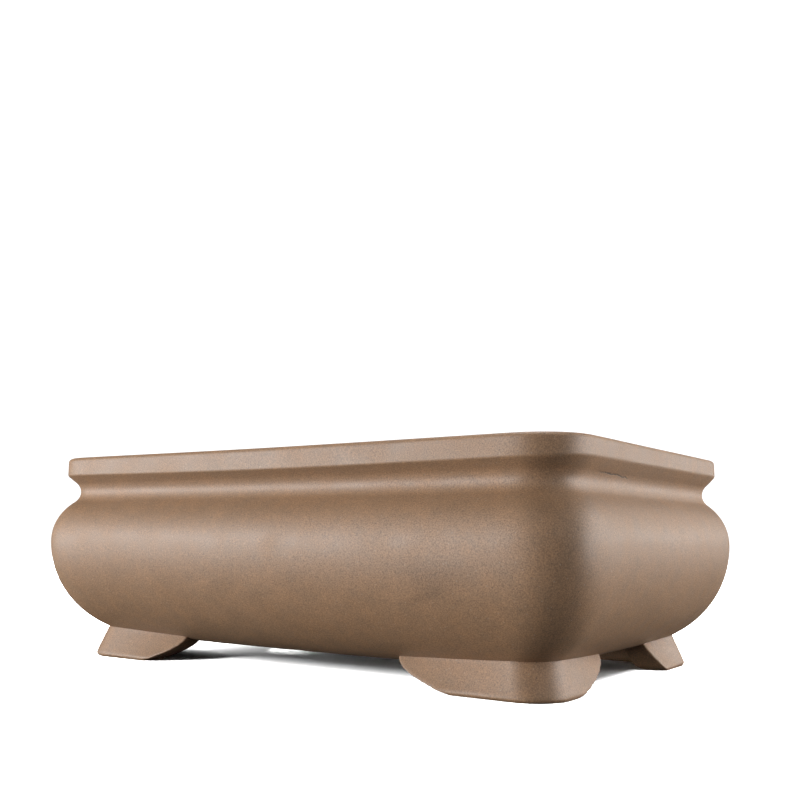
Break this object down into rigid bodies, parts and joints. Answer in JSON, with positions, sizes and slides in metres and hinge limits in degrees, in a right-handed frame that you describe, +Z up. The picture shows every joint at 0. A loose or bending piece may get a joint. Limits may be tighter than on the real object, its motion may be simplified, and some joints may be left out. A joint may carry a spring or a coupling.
{
  "type": "bonsai pot",
  "caption": "Rectangular unglazed stoneware bonsai pot: bulging belly, coved neck under a flat rim band, bracket feet, drain holes under clipped screens",
  "frame": {"origin": "on the ground, under the centre of the pot", "axes": "+X along the pot's length, +Y to its back, +Z up"},
  "size_m": [0.305, 0.202, 0.1],
  "materials": {
    "stoneware": "unglazed fired clay, sandy and matt",
    "screen_plastic": "moulded polyethylene net, dull black",
    "clip_wire": "soft bright annealed wire, bent by hand"
  },
  "bodies": {
    "root": {"belly_wall": "stoneware", "rim_band": "stoneware", "floor_slab": "stoneware", "foot_front_left": "stoneware", "foot_front_right": "stoneware", "foot_back_left": "stoneware", "foot_back_right": "stoneware", "drain_screen_left": "screen_plastic", "drain_screen_right": "screen_plastic", "screen_clip_left": "clip_wire", "screen_clip_right": "clip_wire"}
  },
  "joints": []
}
